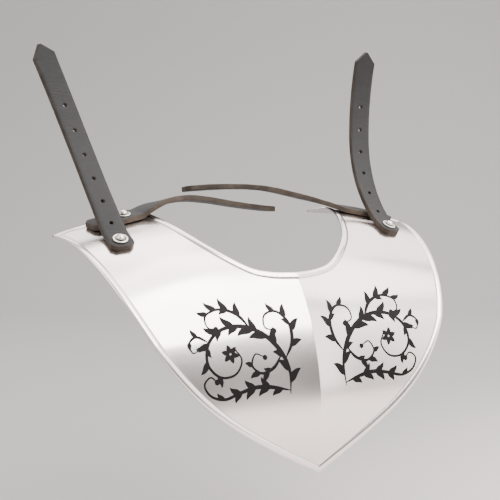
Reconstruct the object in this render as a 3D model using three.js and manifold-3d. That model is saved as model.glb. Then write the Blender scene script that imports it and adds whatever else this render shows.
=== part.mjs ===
// Steel breastplate with riveted leather straps, in millimetres, +Z up.
// The front of the plate faces -Y and X runs across the chest. The origin is on the inner face, on the
// crease, where the plate rests on the breastbone.

import * as THREE from "three";
import { mergeVertices } from "three/addons/utils/BufferGeometryUtils.js";
import Module from "manifold-3d";

const wasm = await Module();
wasm.setup();

// Steel sheet. "Up" sizes are measured along the sheet from its lowest point, "span" sizes across it.
const sheetThickness = 1.5;
const shoulderSpan = 418;
const shoulderUp = 302;
const neckSpan = 218;
const neckUp = 196;
const cornerUp = 355;
const chestUp = 138;
const creaseSlope = 0.1;
const creaseWidth = 32;
const shoulderDrop = 30;

// Border of the sheet, turned over on the outer face.
const rimWidth = 7.5;
const rimLift = 1.2;

// Leather straps, all cut from one hide.
const strapWidth = 23;
const strapThickness = 5;
const strapGap = 0.3;
const strapClip = 4.5;

const shoulderRivetOutLeft = 0.384 * shoulderSpan;
const shoulderRivetOutRight = 0.373 * shoulderSpan;
const shoulderRivetUpLeft = 0.846 * shoulderUp;
const shoulderRivetUpRight = 0.859 * shoulderUp;
const shoulderStrapRoot = 11;
const shoulderStrapFree = 216;
const shoulderPoint = 11.5;
const holeCount = 6;
const holePitch = 26;
const firstHole = 24;
const holeRadius = 2;

// A back strap lies along the crest of the shoulder, root first, and hangs free from where it leaves it.
const backLeaveOut = 0.297 * shoulderSpan;
const backLeaveUp = 0.865 * cornerUp;
const backStrapRootLeft = 38;
const backStrapRootRight = 13;
const backStrapLiesLeft = 13.6;
const backStrapLiesRight = 46.5;
const backStrapSlant = 12;
const backStrapHangsLeft = 177;
const backStrapHangsRight = 187;

// Rivets and washers.
const rivetShankRadius = 1.8;
const rivetHeadRadius = 3.8;
const rivetHeadHeight = 3.2;
const rivetTailRadius = 3.4;
const rivetTailHeight = 1.2;
const rivetClearance = 0.3;
const washerRadius = 7.2;
const washerThickness = 1.2;

// Fineness of the meshes.
const sheetColumns = 12;
const armRows = 38;
const neckRows = 18;
const strapSteps = 32;
const roundSides = 20;
const holeSides = 12;

const rad = Math.PI / 180;

// How far the sheet leans back from upright, by share of the way up to the neck corners.
const leanRows = [
  { up: 0, lean: -12.3 },
  { up: 0.389, lean: 20.9 },
  { up: 0.544, lean: 36.2 },
  { up: 0.751, lean: 59.2 },
  { up: 0.855, lean: 73.5 },
  { up: 0.925, lean: 95 },
  { up: 1, lean: 98 },
];

// The shoulders droop outwards above this share of the way up.
const dropStart = 0.389;

// Arm-side edge: out is a share of half the shoulder span, up a share of shoulderUp.
const armEdgeRows = [
  { out: 0, up: 0 },
  { out: 0.225, up: 0.085 },
  { out: 0.493, up: 0.207 },
  { out: 0.648, up: 0.308 },
  { out: 0.775, up: 0.433 },
  { out: 0.868, up: 0.595 },
  { out: 0.93, up: 0.762 },
  { out: 1, up: 1 },
];

// Neck edge: out is a share of half the neck span, up a share of the rise from neckUp to cornerUp.
const neckEdgeRows = [
  { out: 0, up: 0 },
  { out: 0.245, up: 0.024 },
  { out: 0.43, up: 0.07 },
  { out: 0.717, up: 0.26 },
  { out: 0.9, up: 0.49 },
  { out: 0.98, up: 0.68 },
  { out: 1, up: 1 },
];

// Section of the turned border: inward is a share of rimWidth, lift a share of rimLift.
const rimRows = [
  { inward: 0, lift: 0.6 },
  { inward: 0.1, lift: 1 },
  { inward: 0.86, lift: 1 },
  { inward: 1, lift: 0 },
];

// Routes of the straps where they are free, by share of that length. On a shoulder strap lean is
// backwards from upright, side outwards and twist turns its face inwards. On a back strap rise is
// upwards, back is towards the back, and roll is how far the strap's width leans back from upright.
const shoulderRouteLeft = [
  { along: 0, lean: 54, side: 1, twist: 0 },
  { along: 0.045, lean: 46, side: 2, twist: 0 },
  { along: 0.11, lean: 41, side: 2, twist: 3 },
  { along: 0.2, lean: 38, side: 4, twist: 6 },
  { along: 0.31, lean: 32, side: 7, twist: 9 },
  { along: 0.53, lean: 21, side: 13, twist: 11 },
  { along: 0.84, lean: 5, side: 21, twist: 12 },
  { along: 1, lean: -3, side: 24, twist: 12 },
];
const shoulderRouteRight = [
  { along: 0, lean: 54, side: 0, twist: 0 },
  { along: 0.045, lean: 46, side: 0, twist: 0 },
  { along: 0.11, lean: 41, side: 2, twist: 0 },
  { along: 0.2, lean: 36, side: 4, twist: 3 },
  { along: 0.31, lean: 28, side: 6, twist: 7 },
  { along: 0.53, lean: 12, side: 8, twist: 11 },
  { along: 0.84, lean: -5, side: 4, twist: 12 },
  { along: 1, lean: -13, side: 2, twist: 12 },
];
const backRouteLeft = [
  { along: 0, rise: 10, back: 10, roll: 80 },
  { along: 0.025, rise: 27, back: 9, roll: 80 },
  { along: 0.12, rise: 18, back: 8, roll: 90 },
  { along: 0.2, rise: 10.5, back: 8, roll: 99 },
  { along: 0.3, rise: 4.5, back: 8, roll: 99 },
  { along: 0.42, rise: -5.5, back: 8, roll: 96 },
  { along: 0.6, rise: -9.5, back: 8, roll: 93 },
  { along: 1, rise: -5.5, back: 7, roll: 93 },
];
const backRouteRight = [
  { along: 0, rise: 10, back: 6, roll: 80 },
  { along: 0.03, rise: 19, back: 5, roll: 80 },
  { along: 0.14, rise: 14, back: 5, roll: 83 },
  { along: 0.26, rise: 13.5, back: 7, roll: 87 },
  { along: 0.45, rise: 12.5, back: 8, roll: 88 },
  { along: 0.55, rise: 6, back: 9, roll: 90 },
  { along: 0.7, rise: 0.5, back: 10, roll: 93 },
  { along: 0.85, rise: -2, back: 10, roll: 96 },
  { along: 1, rise: -5, back: 11, roll: 97 },
];

// Value of one column of a table at a place between its rows.
function rowValue(rows, key, column, at) {
  const last = rows.length - 1;
  let i = 0;
  while (i < last - 1 && at > rows[i + 1][key]) i++;
  const a = rows[i];
  const b = rows[i + 1];
  const t = (at - a[key]) / (b[key] - a[key]);
  return a[column] + (b[column] - a[column]) * t;
}

// Side curve of the sheet, as arcs whose lean runs evenly from row to row.
function sideCurve(up) {
  let y = 0;
  let z = 0;
  for (let i = 0; i < leanRows.length - 1; i++) {
    const a = leanRows[i];
    const b = leanRows[i + 1];
    const start = a.up * cornerUp;
    const isLast = i === leanRows.length - 2;
    const end = isLast ? up : Math.min(up, b.up * cornerUp);
    const bend = ((b.lean - a.lean) * rad) / ((b.up - a.up) * cornerUp);
    const from = a.lean * rad;
    const to = from + bend * (end - start);
    y += (Math.cos(from) - Math.cos(to)) / bend;
    z += (Math.sin(to) - Math.sin(from)) / bend;
    if (isLast || up <= b.up * cornerUp) return { y, z, lean: to };
  }
  return { y, z, lean: 0 };
}

const chest = sideCurve(chestUp);

// Point on the inner face of the sheet at x across and up along it, before any thickness.
function innerPoint(x, up) {
  const side = sideCurve(up);
  const out = Math.abs(x);
  const creaseFall = creaseSlope * creaseWidth * Math.tanh(out / creaseWidth);
  const climb = Math.max(0, (up / cornerUp - dropStart) / (1 - dropStart));
  const dropFall = shoulderDrop * climb * (out / (shoulderSpan / 2)) ** 2;
  const fall = creaseFall + dropFall;
  return new THREE.Vector3(
    x,
    side.y - chest.y + fall * Math.cos(side.lean),
    side.z - chest.z - fall * Math.sin(side.lean),
  );
}

// Frame of the sheet: inner point, outward normal, and the directions across and up.
function sheetFrame(x, up) {
  const step = 0.5;
  const point = innerPoint(x, up);
  const upward = innerPoint(x, up + step).sub(innerPoint(x, up - step)).normalize();
  let across = innerPoint(x + step, up).sub(innerPoint(x - step, up));
  if (x === 0) across = new THREE.Vector3(1, 0, 0);
  across.addScaledVector(upward, -across.dot(upward)).normalize();
  const normal = new THREE.Vector3().crossVectors(across, upward).normalize();
  return { point, normal, across, upward };
}

function sheetPoint(x, up, lift) {
  const frame = sheetFrame(x, up);
  return frame.point.addScaledVector(frame.normal, lift);
}

// Smooth curve through the rows of an edge table, sampled evenly along its length.
function edgeSamples(rows, toPoint, count) {
  const curve = new THREE.CatmullRomCurve3(rows.map(toPoint), false, "centripetal");
  curve.arcLengthDivisions = 600;
  return curve.getSpacedPoints(count).map((p) => new THREE.Vector2(p.x, p.y));
}

function armEdge() {
  return edgeSamples(
    armEdgeRows,
    (row) => new THREE.Vector3((row.out * shoulderSpan) / 2, row.up * shoulderUp, 0),
    armRows,
  );
}

function neckEdge() {
  return edgeSamples(
    neckEdgeRows,
    (row) => new THREE.Vector3((row.out * neckSpan) / 2, neckUp + row.up * (cornerUp - neckUp), 0),
    neckRows,
  );
}

// Half outline of the flat sheet, from the lowest point round the arm, the shoulder and the neck.
function halfOutline() {
  const arm = armEdge();
  const neck = neckEdge().reverse();
  const tip = arm[arm.length - 1];
  const corner = neck[0];
  const rear = [];
  for (let i = 1; i < sheetColumns; i++) rear.push(tip.clone().lerp(corner, i / sheetColumns));
  return [...arm, ...rear, ...neck];
}

// The outline moved inwards in the flat sheet, with mitred corners and its ends kept on the crease.
function insetOutline(outline, inset) {
  const last = outline.length - 1;
  const mirrored = (p) => new THREE.Vector2(-p.x, p.y);
  return outline.map((p, i) => {
    const before = i === 0 ? mirrored(outline[1]) : outline[i - 1];
    const after = i === last ? mirrored(outline[last - 1]) : outline[i + 1];
    const inA = p.clone().sub(before).normalize();
    const inB = after.clone().sub(p).normalize();
    const normalA = new THREE.Vector2(-inA.y, inA.x);
    const normalB = new THREE.Vector2(-inB.y, inB.x);
    const middle = normalA.clone().add(normalB).normalize();
    const reach = inset / Math.max(0.3, middle.dot(normalA));
    const moved = p.clone().addScaledVector(middle, reach);
    if (i === 0 || i === last) moved.x = 0;
    return moved;
  });
}

// Rows of flat points that fill the sheet inside the border, from the lowest point to the rear edge.
function sheetGrid(inner) {
  const arm = inner.slice(0, armRows + 1);
  const neck = inner.slice(armRows + sheetColumns).reverse();
  const creaseRows = armRows - neckRows;
  const top = inner.slice(armRows, armRows + sheetColumns + 1).reverse();
  const rows = [];
  for (let i = 0; i <= armRows; i++) {
    const start =
      i <= creaseRows
        ? new THREE.Vector2(0, arm[0].y + ((neck[0].y - arm[0].y) * i) / creaseRows)
        : neck[i - creaseRows];
    const row = [];
    for (let j = 0; j <= sheetColumns; j++) row.push(start.clone().lerp(arm[i], j / sheetColumns));
    rows.push(i === armRows ? top : row);
  }
  return rows;
}

// A growing list of triangles, mirrored across the crease as it is made.
class TriangleList {
  constructor() {
    this.positions = [];
  }

  add(a, b, c) {
    for (const p of [a, b, c]) this.positions.push(p.x, p.y, p.z);
  }

  addMirrored(a, b, c) {
    this.add(a, b, c);
    const flip = (p) => new THREE.Vector3(-p.x, p.y, p.z);
    this.add(flip(a), flip(c), flip(b));
  }

  quadMirrored(a, b, c, d) {
    this.addMirrored(a, b, c);
    this.addMirrored(a, c, d);
  }

  geometry() {
    const raw = new THREE.BufferGeometry();
    raw.setAttribute("position", new THREE.Float32BufferAttribute(this.positions, 3));
    const merged = mergeVertices(raw, 1e-4);
    return dropFlat(merged);
  }
}

// Leaves out triangles whose corners have merged into one another.
function dropFlat(geometry) {
  const index = geometry.getIndex().array;
  const kept = [];
  for (let i = 0; i < index.length; i += 3) {
    const [a, b, c] = [index[i], index[i + 1], index[i + 2]];
    if (a !== b && b !== c && c !== a) kept.push(a, b, c);
  }
  geometry.setIndex(kept);
  return geometry;
}

// The whole sheet as one closed body: outer face with its border, inner face and cut edge.
function plateGeometry() {
  const triangles = new TriangleList();
  const outline = halfOutline();
  const rings = rimRows.map((row) => ({
    flat: insetOutline(outline, row.inward * rimWidth),
    lift: sheetThickness + row.lift * rimLift,
  }));
  const place = (flat, lift) => flat.map((p) => sheetPoint(p.x, p.y, lift));
  const count = outline.length - 1;

  for (let k = 0; k < rings.length - 1; k++) {
    const outerA = place(rings[k].flat, rings[k].lift);
    const outerB = place(rings[k + 1].flat, rings[k + 1].lift);
    const innerA = place(rings[k].flat, 0);
    const innerB = place(rings[k + 1].flat, 0);
    for (let i = 0; i < count; i++) {
      triangles.quadMirrored(outerA[i], outerA[i + 1], outerB[i + 1], outerB[i]);
      triangles.quadMirrored(innerA[i], innerB[i], innerB[i + 1], innerA[i + 1]);
    }
  }

  const edgeLow = place(rings[0].flat, 0);
  const edgeHigh = place(rings[0].flat, rings[0].lift);
  for (let i = 0; i < count; i++) {
    triangles.quadMirrored(edgeLow[i], edgeLow[i + 1], edgeHigh[i + 1], edgeHigh[i]);
  }

  const grid = sheetGrid(rings[rings.length - 1].flat);
  const outerRows = grid.map((row) => place(row, sheetThickness));
  const innerRows = grid.map((row) => place(row, 0));
  for (let i = 0; i < armRows; i++) {
    for (let j = 0; j < sheetColumns; j++) {
      const a = outerRows[i];
      const b = outerRows[i + 1];
      triangles.quadMirrored(a[j], a[j + 1], b[j + 1], b[j]);
      const c = innerRows[i];
      const d = innerRows[i + 1];
      triangles.quadMirrored(c[j], d[j], d[j + 1], c[j + 1]);
    }
  }
  return triangles.geometry();
}

// Solid of the joining library from a closed mesh, and back.
function toSolid(geometry) {
  const bare = geometry.clone();
  bare.deleteAttribute("normal");
  bare.deleteAttribute("uv");
  const merged = mergeVertices(bare, 1e-4);
  return new wasm.Manifold(
    new wasm.Mesh({
      numProp: 3,
      vertProperties: new Float32Array(merged.getAttribute("position").array),
      triVerts: new Uint32Array(merged.getIndex().array),
    }),
  );
}

function toGeometry(solid) {
  const mesh = solid.getMesh();
  const geometry = new THREE.BufferGeometry();
  geometry.setAttribute("position", new THREE.BufferAttribute(mesh.vertProperties, 3));
  geometry.setIndex(new THREE.BufferAttribute(mesh.triVerts, 1));
  return geometry;
}

// Punch: a round bar through a point, along a direction.
function punch(point, direction, radius, length, sideCount = roundSides) {
  const bar = new THREE.CylinderGeometry(radius, radius, length, sideCount);
  bar.applyQuaternion(turnFromY(direction));
  bar.translate(point.x, point.y, point.z);
  return toSolid(bar);
}

function turnFromY(direction) {
  return new THREE.Quaternion().setFromUnitVectors(new THREE.Vector3(0, 1, 0), direction);
}

function withHoles(geometry, punches) {
  let solid = toSolid(geometry);
  for (const bar of punches) solid = solid.subtract(bar);
  return toGeometry(solid);
}

// Seat of a rivet: the sheet's frame there, with the heights of what it holds.
function rivetSeat(side, out, up, lift) {
  const frame = sheetFrame(side * out, up);
  const strapLow = sheetThickness + lift;
  return { ...frame, strapLow, strapMiddle: strapLow + strapThickness / 2 };
}

// Middle line of a strap: stations with a point, and the directions along it and across it.
function station(point, along, across) {
  const wide = across.clone().addScaledVector(along, -across.dot(along)).normalize();
  const normal = new THREE.Vector3().crossVectors(wide, along).normalize();
  return { point, along, across: wide, normal };
}

// Goes on from a point along directions given by share of the length, with stations on the way.
function walk(from, start, length, directionAt, acrossAt) {
  const step = length / strapSteps;
  const stations = [];
  const point = start.clone();
  let previous = directionAt(0);
  for (let i = 1; i <= strapSteps; i++) {
    const share = i / strapSteps;
    const direction = directionAt(share);
    const mean = direction.clone().add(previous).normalize();
    point.addScaledVector(mean, step);
    const here = station(point.clone(), direction, acrossAt(share));
    stations.push({ distance: from + i * step, ...here });
    previous = direction;
  }
  return stations;
}

// Shoulder strap: its root lies on the sheet under the rivet, then it stands up and leans back.
function shoulderStrapStations(side, out, up, rows) {
  const rootSteps = 4;
  const stations = [];
  const middleLift = sheetThickness + strapGap + strapThickness / 2;
  for (let i = 0; i < rootSteps; i++) {
    const back = shoulderStrapRoot * (1 - i / rootSteps);
    const frame = sheetFrame(side * out, up - back);
    const point = frame.point.clone().addScaledVector(frame.normal, middleLift);
    stations.push({ distance: -back, ...station(point, frame.upward, frame.across) });
  }
  const seat = rivetSeat(side, out, up, strapGap);
  const start = seat.point.clone().addScaledVector(seat.normal, seat.strapMiddle);
  const pastWasher = washerRadius + 1;
  const lift = start.clone().addScaledVector(seat.upward, pastWasher);
  stations.push({ distance: 0, ...station(start, seat.upward, seat.across) });
  stations.push({ distance: pastWasher, ...station(lift, seat.upward, seat.across) });
  const directionAt = (share) => {
    const lean = rowValue(rows, "along", "lean", share) * rad;
    const tilt = rowValue(rows, "along", "side", share) * rad;
    return new THREE.Vector3(
      side * Math.sin(tilt),
      Math.cos(tilt) * Math.sin(lean),
      Math.cos(tilt) * Math.cos(lean),
    );
  };
  const upAxis = new THREE.Vector3(0, 0, 1);
  const acrossAt = (share) => {
    const twist = -side * rowValue(rows, "along", "twist", share) * rad;
    return seat.across.clone().applyAxisAngle(upAxis, twist);
  };
  const free = shoulderStrapFree - pastWasher;
  return [...stations, ...walk(pastWasher, lift, free, directionAt, acrossAt)];
}

// Place on the flat sheet of a point of a back strap's line, by distance past its rivet.
function backStrapPlace({ lies }, distance) {
  const left = lies - distance;
  return {
    out: backLeaveOut + left * Math.cos(backStrapSlant * rad),
    up: backLeaveUp - left * Math.sin(backStrapSlant * rad),
  };
}

// Back strap: it lies along the shoulder's crest, under its rivet, and lifts off towards the neck.
function backStrapStations(side, strap) {
  const stepLength = 6;
  const reach = strap.root + strap.lies;
  const steps = Math.ceil(reach / stepLength);
  const lift = sheetThickness + strapGap + strapThickness / 2;
  const onSheet = (distance) => {
    const { out, up } = backStrapPlace(strap, distance);
    return sheetPoint(side * out, up, lift);
  };
  const stations = [];
  for (let i = 0; i <= steps; i++) {
    const distance = (reach * i) / steps - strap.root;
    const { out, up } = backStrapPlace(strap, distance);
    const along = onSheet(distance + 1).sub(onSheet(distance - 1)).normalize();
    const upward = sheetFrame(side * out, up).upward;
    stations.push({ distance, ...station(onSheet(distance), along, upward) });
  }
  const directionAt = (share) => {
    const rise = rowValue(strap.rows, "along", "rise", share) * rad;
    const back = rowValue(strap.rows, "along", "back", share) * rad;
    return new THREE.Vector3(
      -side * Math.cos(rise) * Math.cos(back),
      Math.cos(rise) * Math.sin(back),
      Math.sin(rise),
    );
  };
  const acrossAt = (share) => {
    const roll = rowValue(strap.rows, "along", "roll", share) * rad;
    return new THREE.Vector3(0, Math.sin(roll), Math.cos(roll));
  };
  const last = stations[steps].point;
  return [...stations, ...walk(strap.lies, last, strap.hangs, directionAt, acrossAt)];
}

// Strap solid from its stations, narrowed at its ends by a width rule.
function strapGeometry(stations, widthAt) {
  const positions = [];
  for (const s of stations) {
    const half = widthAt(s.distance) / 2;
    for (const [w, h] of [[-1, -1], [1, -1], [1, 1], [-1, 1]]) {
      const corner = s.point.clone();
      corner.addScaledVector(s.across, w * half);
      corner.addScaledVector(s.normal, (h * strapThickness) / 2);
      positions.push(corner.x, corner.y, corner.z);
    }
  }
  const index = [];
  const last = stations.length - 1;
  for (let i = 0; i < last; i++) {
    for (let k = 0; k < 4; k++) {
      const a = i * 4 + k;
      const b = i * 4 + ((k + 1) % 4);
      index.push(a, b + 4, b, a, a + 4, b + 4);
    }
  }
  const end = last * 4;
  index.push(0, 1, 2, 0, 2, 3, end, end + 2, end + 1, end, end + 3, end + 2);
  const geometry = new THREE.BufferGeometry();
  geometry.setAttribute("position", new THREE.Float32BufferAttribute(positions, 3));
  geometry.setIndex(index);
  return geometry;
}

// Adds stations at chosen distances, so that a narrowed end keeps its corners.
function withStationsAt(stations, distances) {
  const result = [...stations];
  for (const distance of distances) {
    const i = result.findIndex((s) => s.distance > distance);
    if (i < 1 || result.some((s) => Math.abs(s.distance - distance) < 0.2)) continue;
    const a = result[i - 1];
    const b = result[i];
    const t = (distance - a.distance) / (b.distance - a.distance);
    const mix = (key) => a[key].clone().lerp(b[key], t);
    result.splice(i, 0, {
      distance,
      point: mix("point"),
      along: mix("along").normalize(),
      across: mix("across").normalize(),
      normal: mix("normal").normalize(),
    });
  }
  return result;
}

function stationAt(stations, distance) {
  const i = Math.max(1, stations.findIndex((s) => s.distance >= distance));
  const a = stations[i - 1];
  const b = stations[i];
  const t = (distance - a.distance) / (b.distance - a.distance);
  return {
    point: a.point.clone().lerp(b.point, t),
    normal: a.normal.clone().lerp(b.normal, t).normalize(),
  };
}

function shoulderStrap(side, { out, up, rows }) {
  const bluntPoint = 1.5;
  const widthAt = (distance) => {
    const fromRoot = distance + shoulderStrapRoot;
    const toTip = shoulderStrapFree - distance;
    const clipped = strapWidth - 2 * Math.max(0, strapClip - fromRoot);
    const pointed = bluntPoint + ((strapWidth - bluntPoint) * toTip) / shoulderPoint;
    return Math.min(strapWidth, clipped, pointed);
  };
  const corners = [strapClip - shoulderStrapRoot, shoulderStrapFree - shoulderPoint];
  const stations = withStationsAt(shoulderStrapStations(side, out, up, rows), corners);
  const punches = [];
  for (let i = 0; i < holeCount; i++) {
    const at = stationAt(stations, firstHole + i * holePitch);
    punches.push(punch(at.point, at.normal, holeRadius, 3 * strapThickness, holeSides));
  }
  const seat = rivetSeat(side, out, up, strapGap);
  const bore = rivetShankRadius + rivetClearance;
  const middle = seat.point.clone().addScaledVector(seat.normal, seat.strapMiddle);
  punches.push(punch(middle, seat.normal, bore, 3 * strapThickness));
  return withHoles(strapGeometry(stations, widthAt), punches);
}

function backStrap(side, strap) {
  const free = strap.lies + strap.hangs;
  const widthAt = (distance) => {
    const nearest = Math.min(distance + strap.root, free - distance);
    return strapWidth - 2 * Math.max(0, strapClip - nearest);
  };
  const corners = [strapClip - strap.root, free - strapClip];
  const stations = withStationsAt(backStrapStations(side, strap), corners);
  const { out, up } = backStrapPlace(strap, 0);
  const seat = rivetSeat(side, out, up, strapGap);
  const middle = seat.point.clone().addScaledVector(seat.normal, seat.strapMiddle);
  const bore = rivetShankRadius + rivetClearance;
  return withHoles(strapGeometry(stations, widthAt), [
    punch(middle, seat.normal, bore, 3 * strapThickness),
  ]);
}

// What differs between the two sides: the places of the rivets and the lie of the straps.
const sides = [
  {
    name: "left",
    side: -1,
    shoulder: { out: shoulderRivetOutLeft, up: shoulderRivetUpLeft, rows: shoulderRouteLeft },
    back: {
      root: backStrapRootLeft,
      lies: backStrapLiesLeft,
      hangs: backStrapHangsLeft,
      rows: backRouteLeft,
    },
  },
  {
    name: "right",
    side: 1,
    shoulder: { out: shoulderRivetOutRight, up: shoulderRivetUpRight, rows: shoulderRouteRight },
    back: {
      root: backStrapRootRight,
      lies: backStrapLiesRight,
      hangs: backStrapHangsRight,
      rows: backRouteRight,
    },
  },
];

function rivetPlaces({ shoulder, back }) {
  return [
    { kind: "shoulder", out: shoulder.out, up: shoulder.up },
    { kind: "back", ...backStrapPlace(back, 0) },
  ];
}

// Breastplate with a hole under each rivet.
function breastplate() {
  const bore = rivetShankRadius + rivetClearance;
  const punches = sides.flatMap((half) =>
    rivetPlaces(half).map(({ out, up }) => {
      const frame = sheetFrame(half.side * out, up);
      return punch(frame.point, frame.normal, bore, 8 * sheetThickness);
    }),
  );
  return withHoles(plateGeometry(), punches);
}

// Heights above the sheet's inner face of what a rivet goes through.
const washerLow = sheetThickness + strapGap + strapThickness + rivetClearance;
const headLow = washerLow + washerThickness + rivetClearance;

function washerGeometry() {
  const bore = rivetShankRadius + rivetClearance;
  const chamfer = 0.3;
  const high = washerLow + washerThickness;
  const profile = [
    [bore, washerLow],
    [washerRadius, washerLow],
    [washerRadius, high - chamfer],
    [washerRadius - chamfer, high],
    [bore, high],
    [bore, washerLow],
  ];
  return new THREE.LatheGeometry(profile.map(([r, h]) => new THREE.Vector2(r, h)), roundSides);
}

// One rivet: domed head outside, shank, and a flat tail head against the sheet's inner face.
function rivetGeometry() {
  const domeSteps = 5;
  const tailTop = -rivetClearance;
  const profile = [
    [0, tailTop - rivetTailHeight],
    [rivetTailRadius - 0.4, tailTop - rivetTailHeight],
    [rivetTailRadius, tailTop - rivetTailHeight / 2],
    [rivetTailRadius, tailTop],
    [rivetShankRadius, tailTop],
    [rivetShankRadius, headLow],
    [rivetHeadRadius, headLow],
  ];
  for (let i = 1; i <= domeSteps; i++) {
    const angle = ((i / domeSteps) * Math.PI) / 2;
    const radius = i === domeSteps ? 0 : rivetHeadRadius * Math.cos(angle);
    profile.push([radius, headLow + rivetHeadHeight * Math.sin(angle)]);
  }
  return new THREE.LatheGeometry(profile.map(([r, h]) => new THREE.Vector2(r, h)), roundSides);
}

const steel = { color: 0xe4dcd8, roughness: 0.25, metalness: 1 };
const leather = { color: 0x2a2626, roughness: 0.6, metalness: 0 };
const nickel = { color: 0xebe6d7, roughness: 0.3, metalness: 1 };

function piece(name, geometry, finish) {
  geometry.computeVertexNormals();
  const mesh = new THREE.Mesh(geometry, new THREE.MeshStandardMaterial(finish));
  mesh.name = name;
  return mesh;
}

function seated(name, geometry, finish, side, out, up) {
  const mesh = piece(name, geometry, finish);
  const frame = sheetFrame(side * out, up);
  mesh.position.copy(frame.point);
  mesh.quaternion.copy(turnFromY(frame.normal));
  return mesh;
}

const model = new THREE.Group();
model.add(piece("breastplate", breastplate(), steel));
for (const half of sides) {
  const { name, side } = half;
  model.add(piece(`shoulder_strap_${name}`, shoulderStrap(side, half.shoulder), leather));
  model.add(piece(`back_strap_${name}`, backStrap(side, half.back), leather));
  for (const { kind, out, up } of rivetPlaces(half)) {
    model.add(seated(`${kind}_washer_${name}`, washerGeometry(), nickel, side, out, up));
    model.add(seated(`${kind}_rivet_${name}`, rivetGeometry(), nickel, side, out, up));
  }
}

export default model;
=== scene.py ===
import math
import bpy
import bmesh
from mathutils import Matrix, Vector


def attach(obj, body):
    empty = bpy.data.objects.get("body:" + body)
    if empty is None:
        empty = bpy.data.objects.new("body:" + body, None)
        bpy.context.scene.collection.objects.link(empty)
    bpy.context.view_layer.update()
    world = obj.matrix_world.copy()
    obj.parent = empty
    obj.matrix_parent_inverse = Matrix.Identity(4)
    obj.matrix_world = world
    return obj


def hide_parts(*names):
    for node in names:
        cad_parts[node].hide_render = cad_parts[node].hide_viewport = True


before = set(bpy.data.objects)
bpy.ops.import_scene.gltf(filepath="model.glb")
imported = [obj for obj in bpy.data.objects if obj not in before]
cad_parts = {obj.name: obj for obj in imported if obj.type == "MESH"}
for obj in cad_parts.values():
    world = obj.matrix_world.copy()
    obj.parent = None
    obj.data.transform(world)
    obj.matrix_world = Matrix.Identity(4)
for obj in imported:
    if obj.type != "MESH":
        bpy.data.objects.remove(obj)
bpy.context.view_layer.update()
mm = 0.001
print("frame loaded:", len(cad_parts), "nodes")

# Sizes of the plate in millimetres, the same as in the part's own source.
plate = {
    "thickness": 1.5,
    "shoulderSpan": 418,
    "shoulderUp": 302,
    "neckSpan": 218,
    "neckUp": 196,
    "cornerUp": 355,
    "chestUp": 138,
    "creaseSlope": 0.1,
    "creaseWidth": 32,
    "shoulderDrop": 30,
    "dropStart": 0.389,
    # share of the way up, lean back from upright in degrees
    "lean": [
        (0, -12.3), (0.389, 20.9), (0.544, 36.2), (0.751, 59.2),
        (0.855, 73.5), (0.925, 95), (1, 98),
    ],
    # share outwards, share of the way up
    "armEdge": [
        (0, 0), (0.225, 0.085), (0.493, 0.207), (0.648, 0.308),
        (0.775, 0.433), (0.868, 0.595), (0.93, 0.762), (1, 1),
    ],
    "neckEdge": [
        (0, 0), (0.245, 0.024), (0.43, 0.07), (0.717, 0.26),
        (0.9, 0.49), (0.98, 0.68), (1, 1),
    ],
    # turned border: distance in from the edge, height above the inner face
    "border": [
        (0.4, 0), (0.1, 0.12), (0, 0.42), (0, 1.5), (0.08, 1.85), (0.28, 2.2), (0.6, 2.48), (1.05, 2.7),
        (1.6, 2.82), (2.2, 2.87), (2.9, 2.86), (3.7, 2.78), (4.5, 2.63), (5.3, 2.42), (6.0, 2.17),
        (6.5, 1.92), (6.85, 1.7), (7.1, 1.54), (7.5, 1.5), (8.1, 1.5),
    ],
    # painted shade in the corner where the border meets the sheet, from where to where in from the edge
    "seam": (6.85, 7.5),
    "armRows": 150,
    "neckRows": 70,
    "columns": 42,
    "columnGrading": 1.45,
    # points of the fine outline that the border is moved in from
    "finePerRow": 4,
    "fineRear": 160,
    # place of each finish in the plate's list of materials
    "finishes": {"face": 0, "seam": 1, "crest": 2, "inside": 3},
}


# Value of one column of a table at a share, read between the table's rows.
def rowValue(rows, column, at):
    last = len(rows) - 1
    i = 0
    while i < last - 1 and at > rows[i + 1][0]:
        i += 1
    a, b = rows[i], rows[i + 1]
    t = (at - a[0]) / (b[0] - a[0])
    return a[column] + (b[column] - a[column]) * t


# Side view of the crease: how far back and how high a point lies, and how far it leans, in radians.
def sideCurve(up):
    y = z = 0.0
    rows = plate["lean"]
    high = plate["cornerUp"]
    for i in range(len(rows) - 1):
        (upA, leanA), (upB, leanB) = rows[i], rows[i + 1]
        isLast = i == len(rows) - 2
        end = up if isLast else min(up, upB * high)
        bend = math.radians(leanB - leanA) / ((upB - upA) * high)
        start = math.radians(leanA)
        stop = start + bend * (end - upA * high)
        y += (math.cos(start) - math.cos(stop)) / bend
        z += (math.sin(stop) - math.sin(start)) / bend
        if isLast or up <= upB * high:
            return y, z, stop


chest = sideCurve(plate["chestUp"])


# Point of the sheet's inner face, by distance from the crease and distance up along the sheet.
def innerPoint(x, up):
    y, z, lean = sideCurve(up)
    out = abs(x)
    climb = max(0.0, (up / plate["cornerUp"] - plate["dropStart"]) / (1 - plate["dropStart"]))
    fall = plate["creaseSlope"] * plate["creaseWidth"] * math.tanh(out / plate["creaseWidth"])
    fall += plate["shoulderDrop"] * climb * (out / (plate["shoulderSpan"] / 2)) ** 2
    return Vector((
        x,
        y - chest[0] + fall * math.cos(lean),
        z - chest[1] - fall * math.sin(lean),
    ))


def sheetFrame(x, up):
    step = 0.5
    upward = (innerPoint(x, up + step) - innerPoint(x, up - step)).normalized()
    across = innerPoint(x + step, up) - innerPoint(x - step, up)
    if abs(x) < 1e-9:
        across = Vector((1, 0, 0))
    across = (across - upward * across.dot(upward)).normalized()
    normal = across.cross(upward).normalized()
    return innerPoint(x, up), normal, across, upward


def sheetPoint(x, up, lift):
    point, normal, _, _ = sheetFrame(x, up)
    return point + normal * lift


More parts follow.
